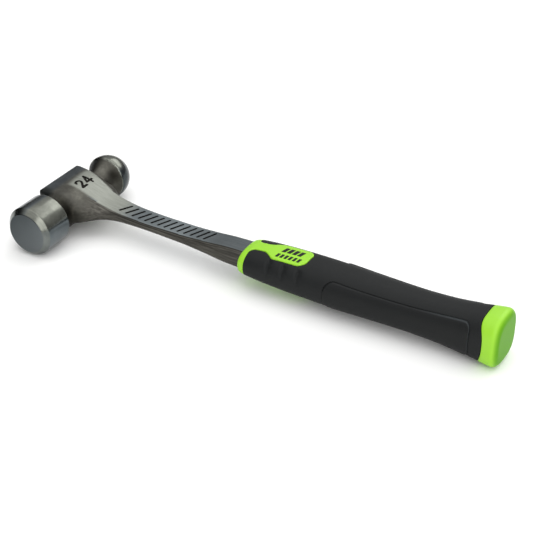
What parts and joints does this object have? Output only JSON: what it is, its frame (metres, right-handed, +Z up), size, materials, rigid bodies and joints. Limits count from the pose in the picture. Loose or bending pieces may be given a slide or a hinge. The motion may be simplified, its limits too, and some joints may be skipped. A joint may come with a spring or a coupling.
{
  "type": "ball peen hammer",
  "caption": "Forged ball peen hammer with a round poll, a ball end, a flat shaft and a green and black moulded grip, lying on its side.",
  "frame": {"origin": "under the middle of the object's box, on the surface it lies on", "axes": "+X from the head along the handle to the butt, +Y from the striking face towards the ball, +Z up out of the cheek"},
  "size_m": [0.3404, 0.108, 0.035],
  "materials": {
    "forged_steel": "forged, oiled, with machined faces",
    "green_plastic": "moulded, satin",
    "black_grip": "moulded, matt",
    "black_pad": "moulded, matt",
    "badge_black": "inlaid",
    "damper_rubber": "moulded"
  },
  "bodies": {
    "root": {"forging": "forged_steel", "fork_damper": "damper_rubber", "tang_sleeve": "damper_rubber", "grip_core": "green_plastic", "soft_grip": "black_grip", "face_side_pad": "black_pad", "ball_side_pad": "black_pad", "butt_cap": "green_plastic", "badge_bars": "badge_black"}
  },
  "joints": []
}
